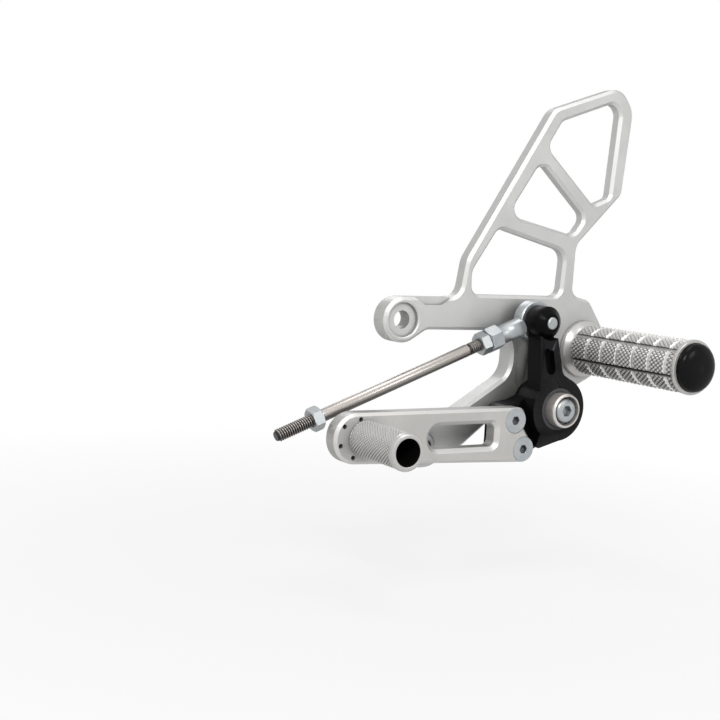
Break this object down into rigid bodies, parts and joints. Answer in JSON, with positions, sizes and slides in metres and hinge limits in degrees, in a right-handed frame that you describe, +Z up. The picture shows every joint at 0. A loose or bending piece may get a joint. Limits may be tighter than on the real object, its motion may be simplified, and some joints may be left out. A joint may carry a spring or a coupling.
{
  "type": "rear set footrest",
  "caption": "Machined motorcycle rear set with a knurled foot peg on an open bracket and a gear lever that turns on a ball-bearing pivot and pulls a threaded shift rod.",
  "frame": {"origin": "centre of the upper frame-mount hole, at the back face of the bracket", "axes": "+X to the rear of the motorcycle, +Z up, and -Y outwards, along the foot peg"},
  "size_m": [0.2071, 0.1125, 0.193],
  "materials": {
    "blasted_aluminium": "bead-blasted satin",
    "satin_aluminium": "satin",
    "bright_aluminium": "bright knurled",
    "black_anodised": "gloss black anodised",
    "zinc_steel": "zinc plated",
    "stainless": "turned stainless",
    "bearing_steel": "polished",
    "gloss_plastic": "gloss",
    "seal_rubber": "matte"
  },
  "bodies": {
    "frame": {"bracket": "blasted_aluminium", "foot_peg": "bright_aluminium", "peg_bolt": "zinc_steel", "peg_end_cap": "gloss_plastic", "pivot_collar": "stainless", "pivot_screw": "zinc_steel", "pivot_spacer": "stainless", "bearing_spacer": "stainless", "front_inner_race": "bearing_steel", "rear_inner_race": "bearing_steel", "lower_frame_bolt": "zinc_steel", "lower_frame_washer": "zinc_steel"},
    "lever": {"shift_hub": "black_anodised", "front_outer_race": "bearing_steel", "rear_outer_race": "bearing_steel", "front_balls": "bearing_steel", "rear_balls": "bearing_steel", "front_seal": "seal_rubber", "rear_seal": "seal_rubber", "lever_arm": "satin_aluminium", "lever_screw_upper": "zinc_steel", "lever_screw_lower": "zinc_steel", "toe_peg": "bright_aluminium", "toe_peg_screw": "zinc_steel", "toe_peg_pin": "bearing_steel", "rod_end_bolt": "zinc_steel", "rod_end_ball": "bearing_steel"},
    "rod": {"rod_end": "zinc_steel", "shift_rod": "stainless", "upper_jam_nut": "zinc_steel", "lower_jam_nut": "zinc_steel"}
  },
  "joints": [
    {"name": "lever_pivot", "type": "hinge", "parent": "frame", "child": "lever", "pos_m": [0.079, -0.022, -0.0415], "axis": [0, 1, 0], "range_deg": [-12, 12]},
    {"name": "rod_swing", "type": "hinge", "parent": "lever", "child": "rod", "pos_m": [0.07077, -0.019, 0.00121], "axis": [0, 1, 0], "range_deg": [-15, 15]}
  ]
}
